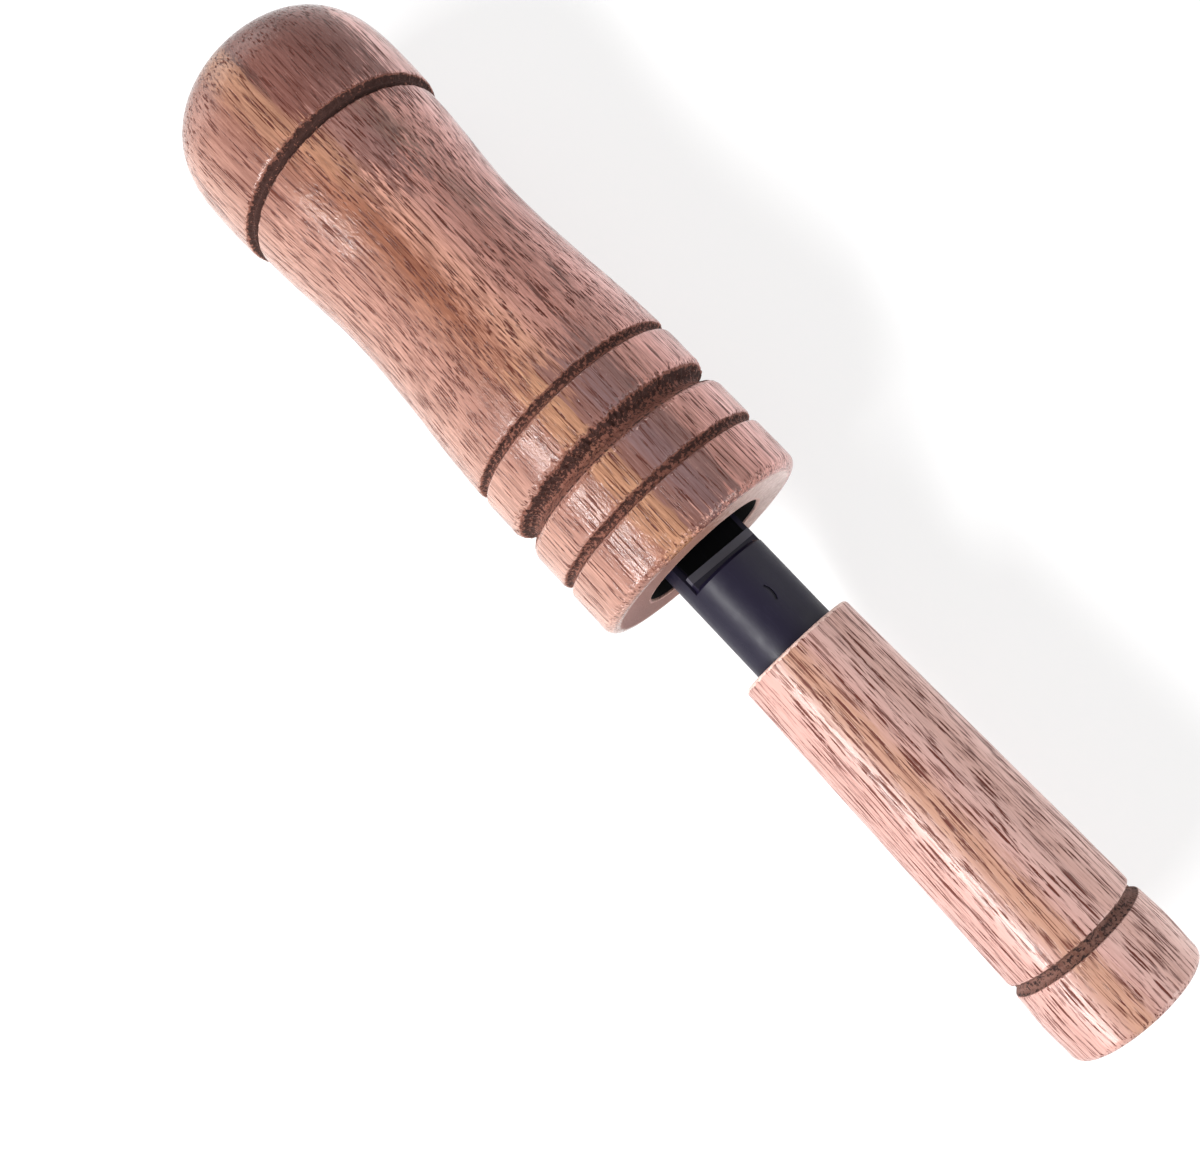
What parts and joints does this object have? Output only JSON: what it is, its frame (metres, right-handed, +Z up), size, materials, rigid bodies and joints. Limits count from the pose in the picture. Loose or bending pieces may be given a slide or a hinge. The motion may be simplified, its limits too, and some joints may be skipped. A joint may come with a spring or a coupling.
{
  "type": "duck call",
  "caption": "Turned walnut duck call: domed, waisted barrel with turned grooves, tapered stopper, and a moulded insert with its reed and clamping wedge.",
  "frame": {"origin": "middle of the call's length, under its axis, on the surface that it lies on", "axes": "+X along the call from the mouthpiece to the stopper's end, +Z up; the picture looks down on it"},
  "size_m": [0.1768, 0.0346, 0.0347],
  "materials": {
    "barrel_walnut": "turned walnut under a thin gloss lacquer",
    "stopper_walnut": "paler turned walnut under a thin gloss lacquer",
    "black_abs": "moulded black plastic with a satin skin",
    "reed_film": "thin black polyester film"
  },
  "bodies": {
    "barrel": {"barrel": "barrel_walnut"},
    "stopper": {"stopper": "stopper_walnut"},
    "tone_board": {"tone_board": "black_abs"},
    "wedge": {"reed_wedge": "black_abs"},
    "reed": {"reed": "reed_film"}
  },
  "joints": [
    {"name": "stopper_slide", "type": "slide", "parent": "barrel", "child": "stopper", "axis": [1, 0, 0], "range_m": [-0.0463, 0.031]},
    {"name": "insert_turn", "type": "hinge", "parent": "stopper", "child": "tone_board", "pos_m": [0.03695, 0, 0.01735], "axis": [1, 0, 0], "continuous": true},
    {"name": "wedge_slide", "type": "slide", "parent": "tone_board", "child": "wedge", "axis": [-1, 0, 0], "range_m": [0, 0.018]},
    {"name": "reed_flex", "type": "hinge", "parent": "tone_board", "child": "reed", "pos_m": [0.00925, 0.00074, 0.01893], "axis": [0, -0.9063, 0.4226], "range_deg": [0, 2.6], "stiffness_Nm_per_rad": 0.017, "deforming": ["reed"]}
  ]
}
